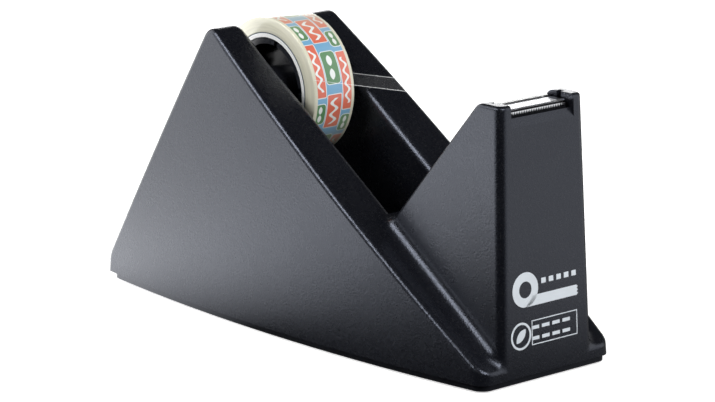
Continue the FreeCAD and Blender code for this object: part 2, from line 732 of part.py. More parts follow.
def make_insert(doc):
    """Make the cutter insert: a block with the tape ridge, the blade's seat and two lugs."""
    body = new_body(doc, "blade_carrier")
    sketch = new_sketch(body, "XZ_Plane")
    front = "length / 2 - lean * sill_height - sill_depth - insert_gap"
    step = "saddle_floor + insert_toe_height"
    draw_outline(sketch, [
        ("foot_x + (saddle_floor - foot_z) / tower_rise", "saddle_floor"),
        (front, "saddle_floor"),
        (front, step),
        ("nose_x", step),
        ("nose_x", "blade_seat"),
        ("ridge_x - ridge_overhang", "blade_seat"),
        ("ridge_x - ridge_overhang", "blade_top"),
        ("ridge_x", "blade_top"),
        ("ridge_x", "insert_top"),
        ("ridge_x - ridge_width", "insert_top"),
    ])
    pad(body, sketch, "2 * (saddle_half - insert_gap)", symmetric=True)
    lugs = new_sketch(body, "XZ_Plane")
    draw_outline(lugs, rectangle("lug_x - lug_width / 2", "lug_x + lug_width / 2",
                                 "insert_top - lug_height", "blade_seat"))
    pad(body, lugs, "2 * (saddle_half + lug_depth)", symmetric=True)
    NODES.append(body)


def make_blade(doc):
    """Make the blade: a steel strip folded down at the front, with a row of fine teeth."""
    body = new_body(doc, "blade")
    inner = "blade_front - blade_thickness"
    sketch = new_sketch(body, "XZ_Plane")
    draw_outline(sketch, [
        ("ridge_x - ridge_overhang", "blade_seat"),
        (inner, "blade_seat"),
        (inner, "blade_tip"),
        ("blade_front", "blade_tip"),
        ("blade_front", "blade_top"),
        ("ridge_x - ridge_overhang", "blade_top"),
    ])
    pad(body, sketch, "2 * blade_half", symmetric=True)
    gap = new_sketch(body, "YZ_Plane", "blade_front + blade_thickness")
    first = "(tooth_count - 1) * tooth_pitch / -2"
    draw_outline(gap, [
        (f"{first} - notch_mouth / 2", "blade_tip"),
        (f"{first} + notch_mouth / 2", "blade_tip"),
        (f"{first} + notch_root / 2", "blade_tip + tooth_depth"),
        (f"{first} - notch_root / 2", "blade_tip + tooth_depth"),
    ])
    notch = pocket(body, gap, "3 * blade_thickness")
    row = body.newObject("PartDesign::LinearPattern", "teeth")
    row.Originals = [notch]
    row.Direction = (origin_feature(body, "Y_Axis"), [""])
    bind(row, {"Length": "(tooth_count - 1) * tooth_pitch", "Occurrences": "tooth_count"})
    body.Tip = row
    doc.recompute()
    NODES.append(body)


def make_strip(doc):
    """Make the drawn length of tape, from the roll over the ridge to the blade."""
    body = new_body(doc, "tape_strip")
    start_x = "hub_x + (roll_radius + strip_gap) * cos(strip_peel_angle)"
    start_z = "hub_z + (roll_radius + strip_gap) * sin(strip_peel_angle)"
    under = [
        (start_x, start_z),
        ("ridge_x - ridge_width", "insert_top + strip_gap"),
        ("ridge_x + strip_gap", "insert_top + strip_gap"),
        ("ridge_x + ridge_width", "blade_top + strip_gap"),
        ("blade_front", "blade_top + strip_gap"),
    ]
    over = [(x, f"{height} + strip_thickness") for x, height in reversed(under)]
    sketch = new_sketch(body, "XZ_Plane")
    draw_outline(sketch, under + over)
    pad(body, sketch, "roll_width", symmetric=True)
    NODES.append(body)


def put_on_roll_axis(body):
    """Place a body that is built round its own Y axis on the roll's axis."""
    bind(body, {"Placement.Base.x": "hub_x", "Placement.Base.z": "hub_z"})


def make_hub(doc):
    """Make the hub: a slit drum on a central disc, with a journal at each end."""
    body = new_body(doc, "hub")
    journal_end = "well_half + channel_depth - trunnion_end_gap"
    bore = "hub_radius - hub_wall"
    half = [
        ("0", journal_end),
        ("trunnion_radius", journal_end),
        ("trunnion_radius", "hub_web / 2"),
        (bore, "hub_web / 2"),
        (bore, "hub_half"),
        ("hub_radius", "hub_half"),
    ]
    sketch = new_sketch(body, "XY_Plane")
    draw_outline(sketch, [(x, f"-({y})") for x, y in half] + half[::-1])
    revolve(body, sketch)
    slits = []
    for side in (-1, 1):
        slit = new_sketch(body, "XZ_Plane", f"{-side} * hub_half")
        box = rectangle("hub_radius - 2 * hub_wall", "hub_radius + hub_wall",
                        "slit_width / -2", "slit_width / 2")
        draw_outline(slit, [(f"({out}) * cos(slit_turn) - ({across}) * sin(slit_turn)",
                             f"({out}) * sin(slit_turn) + ({across}) * cos(slit_turn)")
                            for out, across in box])
        slits.append(pocket(body, slit, "slit_depth", along_normal=side > 0))
    ring = body.newObject("PartDesign::PolarPattern", "slits")
    ring.Originals = slits
    ring.Axis = (origin_feature(body, "Y_Axis"), [""])
    ring.Angle = 360
    bind(ring, {"Occurrences": "slit_count"})
    body.Tip = ring
    doc.recompute()
    put_on_roll_axis(body)
    NODES.append(body)


def make_ring(doc, label, inner, outer):
    """Make one ring of the tape roll."""
    body = new_body(doc, label)
    sketch = new_sketch(body, "XY_Plane")
    draw_outline(sketch, rectangle(inner, outer, "roll_width / -2", "roll_width / 2"))
    revolve(body, sketch)
    put_on_roll_axis(body)
    NODES.append(body)


def main():
    """Build the document, check every object and write one file for each sub-part."""
    doc = FreeCAD.newDocument("tape_dispenser")
    sheet = make_sheet(doc)
    make_housing(doc, sheet)
    make_ballast(doc)
    make_base_plate(doc)
    make_mat(doc)
    make_screws(doc)
    make_insert(doc)
    make_blade(doc)
    make_strip(doc)
    make_hub(doc)
    make_ring(doc, "roll_core", "core_inner_radius", "core_radius")
    make_ring(doc, "printed_liner", "core_radius", "liner_radius")
    make_ring(doc, "tape_winding", "liner_radius", "roll_radius")
    doc.recompute()
    for item in doc.Objects:
        if "Invalid" in item.State or "Error" in item.State:
            raise RuntimeError(f"{item.Name} of {item.Label} failed: {item.State}")
    os.makedirs("parts", exist_ok=True)
    for node in NODES:
        if node.Shape.isNull() or not node.Shape.isValid():
            raise RuntimeError(f"{node.Label} has no valid shape")
        node.Shape.exportStep(f"parts/{node.Label}.step")
        print(node.Label, len(node.Shape.Solids), round(node.Shape.Volume, 1))


if __name__ == "__main__":
    main()
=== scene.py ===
import enum
import logging
import math
from dataclasses import dataclass, field

import bmesh
import bpy
from mathutils import Matrix, Vector


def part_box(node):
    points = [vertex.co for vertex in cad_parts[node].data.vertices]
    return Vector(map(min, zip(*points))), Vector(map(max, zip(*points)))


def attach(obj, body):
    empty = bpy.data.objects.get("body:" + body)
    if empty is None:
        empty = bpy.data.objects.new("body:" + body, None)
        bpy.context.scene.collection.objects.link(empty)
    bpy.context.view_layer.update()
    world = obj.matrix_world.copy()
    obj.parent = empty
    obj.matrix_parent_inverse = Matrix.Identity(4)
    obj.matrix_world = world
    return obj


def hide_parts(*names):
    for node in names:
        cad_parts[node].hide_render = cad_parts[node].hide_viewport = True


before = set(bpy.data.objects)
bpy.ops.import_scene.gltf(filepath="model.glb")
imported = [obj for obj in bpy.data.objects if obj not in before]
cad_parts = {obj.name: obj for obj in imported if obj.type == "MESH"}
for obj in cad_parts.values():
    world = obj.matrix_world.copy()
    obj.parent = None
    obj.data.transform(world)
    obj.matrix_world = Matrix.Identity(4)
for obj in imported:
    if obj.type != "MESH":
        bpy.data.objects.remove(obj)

LOG = logging.getLogger("tape_dispenser")
MM = 0.001
Colour = tuple[float, float, float]
Outline = list[tuple[float, float]]


class Body(enum.Enum):
    """The bodies of the frame that pieces ride on."""

    HOUSING = "housing_body"
    STRIP = "drawn_tape"
    ROLL = "roll"


# ---------------------------------------------------------------- node wiring


class Wiring:
    """Adds nodes to one tree, shader or geometry, and links them."""

    def __init__(self, tree: bpy.types.NodeTree) -> None:
        """Keep the tree that the nodes go into."""
        self.tree = tree

    def feed(self, socket: bpy.types.NodeSocket, value: object) -> None:
        """Give a socket its value.

        Args:
            socket: the input socket.
            value: another node's output socket, or a constant.
        """
        if isinstance(value, bpy.types.NodeSocket):
            self.tree.links.new(value, socket)
        elif value is not None:
            socket.default_value = value

    def add(self, kind: str, settings: dict[str, object] | None = None,
            **inputs: object) -> bpy.types.Node:
        """Add a node.

        Args:
            kind: the node's type name.
            settings: properties of the node itself.
            inputs: values for its inputs, by socket name with underscores for spaces.

        Returns:
            The node.
        """
        node = self.tree.nodes.new(kind)
        for name, value in (settings or {}).items():
            setattr(node, name, value)
        for name, value in inputs.items():
            self.feed(node.inputs[name.replace("_", " ")], value)
        return node

    def math(self, operation: str, *values: object, clamp: bool = False) -> bpy.types.NodeSocket:
        """Add a Math node on up to three values and return its result."""
        node = self.add("ShaderNodeMath", {"operation": operation, "use_clamp": clamp})
        for socket, value in zip(node.inputs, values):
            self.feed(socket, value)
        return node.outputs[0]

    def blend(self, share: object, first: object, second: object) -> bpy.types.NodeSocket:
        """Mix two colours and return the result.

        Args:
            share: how much of the second colour, 0 to 1.
            first: the first colour.
            second: the second colour.
        """
        node = self.add("ShaderNodeMix", {"data_type": "RGBA"})
        self.feed(node.inputs[0], share)
        self.feed(node.inputs[6], first)
        self.feed(node.inputs[7], second)
        return node.outputs[2]

    def scaled(self, value: object, low: float, high: float) -> bpy.types.NodeSocket:
        """Map a value from 0..1 to low..high, clamped, and return the result."""
        node = self.add("ShaderNodeMapRange", Value=value, To_Min=low, To_Max=high)
        return node.outputs[0]

    def below(self, value: object, limit: float, softness: float) -> bpy.types.NodeSocket:
        """Return a mask that is 1 where a value is under a limit, with a soft edge."""
        node = self.add("ShaderNodeMapRange", Value=value, From_Min=limit + softness,
                        From_Max=limit - softness)
        return node.outputs[0]


def rgba(colour: Colour) -> tuple[float, float, float, float]:
    """Return a colour with full opacity."""
    return (*colour, 1.0)


class ShaderGroups:
    """The effects that several finishes share, each built once."""

    def __init__(self) -> None:
        """Build every group."""
        self.grain = self._make("moulded_grain", {"Place": "Vector", "Cells": "Float",
                                                  "Fine": "Float"},
                                {"Height": "Float", "Patch": "Float", "Painted_Glint_Mask": "Float"},
                                self._grain)
        self.wear = self._make("handling_wear", {"Place": "Vector", "Cells": "Float",
                                                 "Amount": "Float"},
                               {"Mask": "Float"}, self._wear)
        self.brushed = self._make("brushed_lines", {"Place": "Vector", "Stretch": "Vector"},
                                  {"Streak": "Float"}, self._brushed)
        self.panel = self._make("rounded_panel", {"Across": "Float", "Along": "Float",
                                                  "Half Width": "Float", "Half Length": "Float",
                                                  "Corner": "Float"},
                                {"Distance": "Float"}, self._panel)
        self.leaf = self._make("leaf_shape", {"Across": "Float", "Along": "Float",
                                              "Reach": "Float", "Round": "Float"},
                               {"Distance": "Float"}, self._leaf)

    @staticmethod
    def _make(name: str, inputs: dict[str, str], outputs: dict[str, str],
              build: object) -> bpy.types.NodeTree:
        """Make one shader group.

        Args:
            name: the group's name.
            inputs: kind of socket by name.
            outputs: kind of socket by name.
            build: function that wires the group and returns its outputs by name.

        Returns:
            The group's tree.
        """
        tree = bpy.data.node_groups.new(name, "ShaderNodeTree")
        for side, sockets in (("INPUT", inputs), ("OUTPUT", outputs)):
            for socket, kind in sockets.items():
                tree.interface.new_socket(socket, in_out=side, socket_type=f"NodeSocket{kind}")
        wires = Wiring(tree)
        source = wires.add("NodeGroupInput")
        results = build(wires, source.outputs)
        sink = wires.add("NodeGroupOutput")
        for socket, value in results.items():
            wires.feed(sink.inputs[socket], value)
        return tree

    @staticmethod
    def _grain(wires: Wiring, source: object) -> dict[str, object]:
        """Wire the pebbled grain of spark-eroded moulds, a slow patchiness and a mask of painted
        glint specks.
        """
        pebbles = wires.add("ShaderNodeTexVoronoi", {"feature": "SMOOTH_F1"},
                            Vector=source["Place"], Scale=source["Cells"], Smoothness=0.35)
        grit = wires.add("ShaderNodeTexNoise", Vector=source["Place"], Scale=source["Fine"],
                         Detail=3.0, Roughness=0.6)
        broad = wires.math("DIVIDE", source["Cells"], 30.0)
        patch = wires.add("ShaderNodeTexNoise", Vector=source["Place"], Scale=broad, Detail=2.0)
        height = wires.math("SUBTRACT", wires.math("MULTIPLY", grit.outputs["Fac"], 0.7),
                            pebbles.outputs["Distance"])
        # Painted highlight: sparse specks that stand in for glints of light on the grain.
        glint = wires.add("ShaderNodeTexNoise", Vector=source["Place"],
                          Scale=wires.math("MULTIPLY", source["Cells"], 1.3), Detail=1.0)
        painted_glint = wires.math("SUBTRACT", 1.0, wires.below(glint.outputs["Fac"], 0.63, 0.05))
        return {"Height": height, "Patch": patch.outputs["Fac"], "Painted_Glint_Mask": painted_glint}

    @staticmethod
    def _wear(wires: Wiring, source: object) -> dict[str, object]:
        """Wire faint smudges and fine scuffs from handling."""
        cloud = wires.add("ShaderNodeTexNoise", Vector=source["Place"], Scale=source["Cells"],
                          Detail=4.0, Roughness=0.62)
        scuffs = wires.add("ShaderNodeTexNoise", Vector=source["Place"], Detail=2.0,
                           Scale=wires.math("MULTIPLY", source["Cells"], 9.0))
        both = wires.math("MULTIPLY", cloud.outputs["Fac"], scuffs.outputs["Fac"])
        mask = wires.math("SUBTRACT", wires.math("MULTIPLY", both, 4.0), 0.75, clamp=True)
        return {"Mask": wires.math("MULTIPLY", mask, source["Amount"], clamp=True)}

    @staticmethod
    def _brushed(wires: Wiring, source: object) -> dict[str, object]:
        """Wire the fine parallel lines of rolled or brushed metal."""
        stretched = wires.add("ShaderNodeVectorMath", {"operation": "MULTIPLY"})
        wires.feed(stretched.inputs[0], source["Place"])
        wires.feed(stretched.inputs[1], source["Stretch"])
        lines = wires.add("ShaderNodeTexNoise", Vector=stretched.outputs[0], Scale=1.0,
                          Detail=4.0, Roughness=0.7)
        return {"Streak": lines.outputs["Fac"]}

    @staticmethod
    def _panel(wires: Wiring, source: object) -> dict[str, object]:
        """Wire the distance from the edge of a rounded rectangle, negative inside."""
        reach = []
        for side, half in (("Across", "Half Width"), ("Along", "Half Length")):
            inner = wires.math("SUBTRACT", source[half], source["Corner"])
            reach.append(wires.math("SUBTRACT", wires.math("ABSOLUTE", source[side]), inner))
        outside = [wires.math("MAXIMUM", value, 0.0) for value in reach]
        squares = [wires.math("MULTIPLY", value, value) for value in outside]
        length = wires.math("SQRT", wires.math("ADD", *squares))
        inside = wires.math("MINIMUM", wires.math("MAXIMUM", *reach), 0.0)
        return {"Distance": wires.math("SUBTRACT", wires.math("ADD", length, inside),
                                       source["Corner"])}

    @staticmethod
    def _leaf(wires: Wiring, source: object) -> dict[str, object]:
        """Wire the distance from the edge of a leaf, the overlap of two circles."""
        sides = []
        for sign in (-1.0, 1.0):
            shifted = wires.math("MULTIPLY_ADD", source["Reach"], sign, source["Across"])
            squares = [wires.math("MULTIPLY", value, value) for value in (shifted, source["Along"])]
            length = wires.math("SQRT", wires.math("ADD", *squares))
            sides.append(wires.math("SUBTRACT", length, source["Round"]))
        return {"Distance": wires.math("MAXIMUM", *sides)}


# ---------------------------------------------------------------- finishes


class Finish:
    """A material under construction: a Principled shader with its Object coordinates."""

    def __init__(self, name: str) -> None:
        """Make an empty material with one Principled shader."""
        self.material = bpy.data.materials.new(name)
        self.material.use_nodes = True
        tree = self.material.node_tree
        tree.nodes.clear()
        self.wires = Wiring(tree)
        self.shader = self.wires.add("ShaderNodeBsdfPrincipled")
        output = self.wires.add("ShaderNodeOutputMaterial")
        tree.links.new(self.shader.outputs[0], output.inputs["Surface"])
        self.place = self.wires.add("ShaderNodeTexCoord").outputs["Object"]

    def use(self, group: bpy.types.NodeTree, **inputs: object) -> bpy.types.Node:
        """Place a shared group in this material and feed its inputs."""
        node = self.wires.add("ShaderNodeGroup", {"node_tree": group})
        for name, value in inputs.items():
            self.wires.feed(node.inputs[name.replace("_", " ")], value)
        return node

    def set(self, **inputs: object) -> None:
        """Feed the shader's own sockets."""
        for name, value in inputs.items():
            self.wires.feed(self.shader.inputs[name.replace("_", " ")], value)

    def bump(self, height: object, depth: float, strength: float = 1.0) -> None:
        """Raise the surface by a height pattern.

        Args:
            height: the pattern, 0 to 1.
            depth: the pattern's full height in metres.
            strength: how much of it shows.
        """
        node = self.wires.add("ShaderNodeBump", Height=height, Distance=depth, Strength=strength)
        self.wires.feed(self.shader.inputs["Normal"], node.outputs[0])


@dataclass(frozen=True)
class MouldedPlastic:
    """Matt moulded plastic with a pebbled grain and, where asked for, painted glint specks."""

    name: str
    colour: Colour
    roughness: float
    cells: float
    depth: float
    tint: Colour = (1.0, 1.0, 1.0)
    wear: float = 0.25
    # how much lighter the painted glint specks are, which stand in for glints of light
    painted_glint: float = 0.0
    grit_per_cell: float = 2.6
    smudges: float = 60.0
    roughness_swing: float = 0.06
    polish: float = 0.12
    patch_gain: float = 1.5
    patch_lift: float = 0.004

    def make(self, groups: ShaderGroups) -> bpy.types.Material:
        """Build the material."""
        finish = Finish(self.name)
        grain = finish.use(groups.grain, Place=finish.place, Cells=self.cells,
                           Fine=self.cells * self.grit_per_cell)
        wear = finish.use(groups.wear, Place=finish.place, Cells=self.smudges, Amount=self.wear)
        wires = finish.wires
        light = tuple(min(1.0, self.patch_gain * value + self.patch_lift)
                      for value in self.colour)
        tone = wires.blend(grain.outputs["Patch"], rgba(self.colour), rgba(light))
        # Painted highlight: the colour is lifted in small specks to stand in for glints on the
        # grain.
        glint = tuple(value + self.painted_glint for value in self.colour)
        tone = wires.blend(grain.outputs["Painted_Glint_Mask"], tone, rgba(glint))
        rough = wires.scaled(grain.outputs["Height"], self.roughness - self.roughness_swing,
                             self.roughness + self.roughness_swing)
        rough = wires.math("MULTIPLY_ADD", wear.outputs["Mask"], -self.polish, rough)
        finish.set(Base_Color=tone, Roughness=rough, Specular_Tint=rgba(self.tint))
        finish.bump(grain.outputs["Height"], self.depth)
        return finish.material


@dataclass(frozen=True)
class RolledSteel:
    """Bright steel with fine lines along one direction, and where asked for a band of painted dark
    reflection.
    """

    name: str
    colour: Colour
    roughness: float
    stretch: tuple[float, float, float]
    band: tuple[float, float] | None = None
    dark_reflection_colour: Colour = (0.012, 0.012, 0.014)
    band_blur: float = 0.02 * MM
    shade: float = 0.72
    roughness_fall: float = 0.08
    roughness_rise: float = 0.1
    line_depth: float = 0.004 * MM
    line_strength: float = 0.5

    def make(self, groups: ShaderGroups) -> bpy.types.Material:
        """Build the material."""
        finish = Finish(self.name)
        lines = finish.use(groups.brushed, Place=finish.place, Stretch=self.stretch)
        wires = finish.wires
        darker = tuple(self.shade * value for value in self.colour)
        tone = wires.blend(lines.outputs["Streak"], rgba(darker), rgba(self.colour))
        # Painted reflection: a dark band between two heights stands in for the dark surroundings
        # mirrored in the front flange.
        if self.band:
            height = wires.add("ShaderNodeSeparateXYZ", Vector=finish.place).outputs["Z"]
            low, high = (wires.below(height, level, self.band_blur) for level in self.band)
            painted_dark_reflection = wires.math("SUBTRACT", high, low, clamp=True)
            tone = wires.blend(painted_dark_reflection, tone, rgba(self.dark_reflection_colour))
        rough = wires.scaled(lines.outputs["Streak"], self.roughness - self.roughness_fall,
                             self.roughness + self.roughness_rise)
        finish.set(Base_Color=tone, Roughness=rough, Metallic=1.0)
        finish.bump(lines.outputs["Streak"], self.line_depth, self.line_strength)
        return finish.material


@dataclass(frozen=True)
class FoamRubber:
    """Dark closed-cell foam with small pits, with painted shade down in them."""

    name: str
    colour: Colour
    cells: float = 1400.0
    grit: float = 2600.0
    gain: float = 1.8
    pit_depth: float = 0.12 * MM

    def make(self, groups: ShaderGroups) -> bpy.types.Material:
        """Build the material."""
        finish = Finish(self.name)
        grain = finish.use(groups.grain, Place=finish.place, Cells=self.cells, Fine=self.grit)
        # Painted shade: the colour is lighter where the grain stands high and stays dark down in
        # the pits.
        light = tuple(self.gain * value for value in self.colour)
        tone = finish.wires.blend(grain.outputs["Height"], rgba(self.colour), rgba(light))
        finish.set(Base_Color=tone, Roughness=0.9)
        finish.bump(grain.outputs["Height"], self.pit_depth)
        return finish.material


@dataclass(frozen=True)
class CastMineral:
    """Speckled mineral casting."""

    name: str
    colour: Colour
    cells: float = 700.0
    grit: float = 1500.0
    shade: float = 0.45
    depth: float = 0.2 * MM

    def make(self, groups: ShaderGroups) -> bpy.types.Material:
        """Build the material."""
        finish = Finish(self.name)
        grain = finish.use(groups.grain, Place=finish.place, Cells=self.cells, Fine=self.grit)
        dark = tuple(self.shade * value for value in self.colour)
        tone = finish.wires.blend(grain.outputs["Patch"], rgba(dark), rgba(self.colour))
        finish.set(Base_Color=tone, Roughness=0.85)
        finish.bump(grain.outputs["Height"], self.depth)
        return finish.material


@dataclass(frozen=True)
class ScreenPrint:
    """Opaque printing ink with a slightly uneven edge to its cover."""

    name: str
    colour: Colour
    cells: float = 2600.0
    grit: float = 5200.0
    shade: float = 0.8
    roughness: tuple[float, float] = (0.45, 0.6)
    depth: float = 0.02 * MM
    strength: float = 0.4

    def make(self, groups: ShaderGroups) -> bpy.types.Material:
        """Build the material."""
        finish = Finish(self.name)
        grain = finish.use(groups.grain, Place=finish.place, Cells=self.cells, Fine=self.grit)
        thin = tuple(self.shade * value for value in self.colour)
        tone = finish.wires.blend(grain.outputs["Patch"], rgba(thin), rgba(self.colour))
        rough = finish.wires.scaled(grain.outputs["Patch"], *self.roughness)
        finish.set(Base_Color=tone, Roughness=rough)
        finish.bump(grain.outputs["Height"], self.depth, self.strength)
        return finish.material


@dataclass(frozen=True)
class ClearStrip:
    """Clear tape: all but invisible, with painted highlights along its two cut edges and a faint
    painted glow.
    """

    name: str
    colour: Colour
    half_width: float
    edge: float = 0.16 * MM
    edge_blur: float = 0.03 * MM
    edge_cover: float = 0.28
    haze_cover: float = 0.012
    stretch: tuple[float, float, float] = (70.0, 2500.0, 70.0)

    def make(self, groups: ShaderGroups) -> bpy.types.Material:
        """Build the material."""
        finish = Finish(self.name)
        wires = finish.wires
        axes = wires.add("ShaderNodeSeparateXYZ", Vector=finish.place)
        offset = wires.math("ABSOLUTE", axes.outputs["Y"])
        # Painted highlight: the film turns opaque white along its two cut edges, where light would
        # catch them.
        middle = wires.below(offset, self.half_width - self.edge, self.edge_blur)
        rim = wires.math("SUBTRACT", 1.0, middle)
        streaks = finish.use(groups.brushed, Place=finish.place, Stretch=self.stretch)
        haze_and_glare = wires.scaled(streaks.outputs["Streak"], 0.0, self.haze_cover)
        rough = wires.scaled(streaks.outputs["Streak"], 0.2, 0.35)
        # Painted glow: the film gives off a little light of its own wherever it shows.
        finish.set(Base_Color=rgba(self.colour), Roughness=rough,
                   Emission_Color=rgba(self.colour), Emission_Strength=0.4,
                   Alpha=wires.math("MAXIMUM", haze_and_glare, wires.math("MULTIPLY", rim, self.edge_cover)))
        return finish.material


@dataclass(frozen=True)
class PrintedTape:
    """Clear tape wound on a printed liner, whose print shows through the outer turns.

    The print is blue, with three rows of panels round the roll: red and green in turn, with
    white borders and plain white shapes. Angles are in degrees, sizes in metres.
    """

    name: str
    axis: tuple[float, float]
    radius: float
    cream: Colour = (0.84, 0.82, 0.66)
    blue: Colour = (0.115, 0.37, 0.62)
    red: Colour = (0.72, 0.095, 0.04)
    green: Colour = (0.03, 0.2, 0.055)
    white: Colour = (0.86, 0.9, 0.9)
    repeats: int = 5
    border: float = 0.2 * MM
    corners: tuple[float, float] = (0.3 * MM, 0.9 * MM)
    soft: float = 0.05 * MM
    shape_soft: float = 0.06 * MM
    wave_length: float = 3.1 * MM
    # of each row: its middle across, half width, half lengths of red and green, turn of the red
    rows: tuple[tuple[float, float, float, float, float], ...] = (
        (-4.45 * MM, 1.65 * MM, 22.0, 8.5, 22.0),
        (0.0, 2.25 * MM, 14.0, 13.2, 59.0),
        (4.3 * MM, 1.5 * MM, 23.5, 7.5, 11.0),
    )
    print_half: float = 5.55 * MM

    def make(self, groups: ShaderGroups) -> bpy.types.Material:
        """Build the material."""
        finish = Finish(self.name)
        wires = finish.wires
        centred = wires.add("ShaderNodeMapping", Vector=finish.place,
                            Location=(-self.axis[0], 0.0, -self.axis[1]))
        axes = wires.add("ShaderNodeSeparateXYZ", Vector=centred.outputs[0])
        across, out_x, out_z = (axes.outputs[name] for name in ("Y", "X", "Z"))
        squares = [wires.math("MULTIPLY", value, value) for value in (out_x, out_z)]
        reach = wires.math("SQRT", wires.math("ADD", *squares))
        turn = wires.math("DEGREES", wires.math("ARCTAN2", out_z, out_x))
        ground = self._print(finish, groups, across, turn)
        layers = self._layers(finish, reach, turn)
        outer = wires.math("SUBTRACT", 1.0, wires.below(reach, self.radius - 0.12 * MM, self.soft))
        printed = wires.below(wires.math("ABSOLUTE", across), self.print_half, self.shape_soft)
        # Painted reflection: at glancing angles the print gives way to the plain cream side colour,
        # standing in for glare on the clear outer turns.
        glancing = wires.add("ShaderNodeLayerWeight", Blend=0.4).outputs["Facing"]
        haze_and_glare = wires.math("MULTIPLY", wires.math("POWER", glancing, 2.2), 1.6, clamp=True)
        clear = wires.math("SUBTRACT", 0.97, haze_and_glare, clamp=True)
        shown = wires.math("MULTIPLY", wires.math("MULTIPLY", outer, printed), clear)
        finish.set(Base_Color=wires.blend(shown, layers, ground), Roughness=0.3, IOR=1.48,
                   Coat_Weight=0.7, Coat_Roughness=0.08)
        wear = finish.use(groups.wear, Place=finish.place, Cells=240.0, Amount=0.5)
        finish.bump(wires.math("MULTIPLY_ADD", wear.outputs["Mask"], 0.5,
                               self._turns(finish, reach)), 0.05 * MM, 0.5)
        return finish.material

    def _turns(self, finish: Finish, reach: object) -> object:
        """Return the fine steps of the wound turns, by distance from the axis."""
        wires = finish.wires
        place = wires.add("ShaderNodeCombineXYZ", X=wires.math("MULTIPLY", reach, 7000.0))
        noise = wires.add("ShaderNodeTexNoise", Vector=place.outputs[0], Scale=1.0, Detail=3.0)
        return noise.outputs["Fac"]

    def _layers(self, finish: Finish, reach: object, turn: object) -> object:
        """Return the colour of the wound side, cream with faint rings and cloudy sectors."""
        wires = finish.wires
        dark = tuple(0.72 * value for value in self.cream)
        place = wires.add("ShaderNodeCombineXYZ", X=wires.math("MULTIPLY", reach, 1500.0),
                          Y=wires.math("MULTIPLY", wires.math("COSINE", wires.math(
                              "RADIANS", turn)), 1.4))
        rings = wires.add("ShaderNodeTexNoise", Vector=place.outputs[0], Scale=1.0, Detail=4.0)
        share = wires.scaled(rings.outputs["Fac"], -0.35, 1.1)
        return wires.blend(share, rgba(dark), rgba(self.cream))

    def _print(self, finish: Finish, groups: ShaderGroups, across: object,
               turn: object) -> object:
        """Return the print's colours, from the place across the tape and the turn round it."""
        wires = finish.wires
        colour: object = rgba(self.blue)
        period = 360.0 / self.repeats
        arc = math.radians(1.0) * self.radius
        for middle, half_width, red_half, green_half, red_turn in self.rows:
            side = wires.math("SUBTRACT", across, middle)
            for ink, half, at, corner in (
                    (self.red, red_half, red_turn, self.corners[0]),
                    (self.green, green_half, red_turn + period / 2, self.corners[1])):
                shifted = wires.math("SUBTRACT", turn, at)
                nearest = wires.math("MULTIPLY", wires.math("ROUND", wires.math(
                    "DIVIDE", shifted, period)), period)
                along = wires.math("MULTIPLY", wires.math("SUBTRACT", shifted, nearest), arc)
                panel = finish.use(groups.panel, Across=side, Along=along, Half_Width=half_width,
                                   Half_Length=half * arc, Corner=corner)
                distance = panel.outputs["Distance"]
                colour = wires.blend(wires.below(distance, self.border, self.soft), colour,
                                     rgba(self.white))
                colour = wires.blend(wires.below(distance, 0.0, self.soft), colour, rgba(ink))
                if ink == self.red:
                    shape = self._wave(wires, side, along, half_width, half * arc)
                else:
                    shape = self._sprig(finish, groups, side, along, half_width, half * arc)
                colour = wires.blend(shape, colour, rgba(self.white))
        return colour

    def _wave(self, wires: Wiring, side: object, along: object,
              half_width: float, half_length: float) -> object:
        """Return the mask of a plain wavy band down the middle of a panel."""
        swing = wires.math("MULTIPLY", wires.math("SINE", wires.math(
            "MULTIPLY", along, 2 * math.pi / self.wave_length)), 0.38 * half_width)
        off = wires.math("ABSOLUTE", wires.math("SUBTRACT", side, swing))
        band = wires.below(off, 0.24 * half_width, self.shape_soft)
        inside = wires.below(wires.math("ABSOLUTE", along), 0.8 * half_length, self.soft)
        return wires.math("MULTIPLY", band, inside)

    def _sprig(self, finish: Finish, groups: ShaderGroups, side: object, along: object,
               half_width: float, half_length: float) -> object:
        """Return the mask of two plain leaves in a panel."""
        wires = finish.wires
        masks = []
        for share in (-0.42, 0.42):
            leaf = finish.use(groups.leaf, Across=side,
                              Along=wires.math("SUBTRACT", along, share * half_length),
                              Reach=0.35 * half_width, Round=0.72 * half_width)
            masks.append(wires.below(leaf.outputs["Distance"], 0.0, self.shape_soft))
        return wires.math("MAXIMUM", *masks)


# ---------------------------------------------------------------- geometry trees


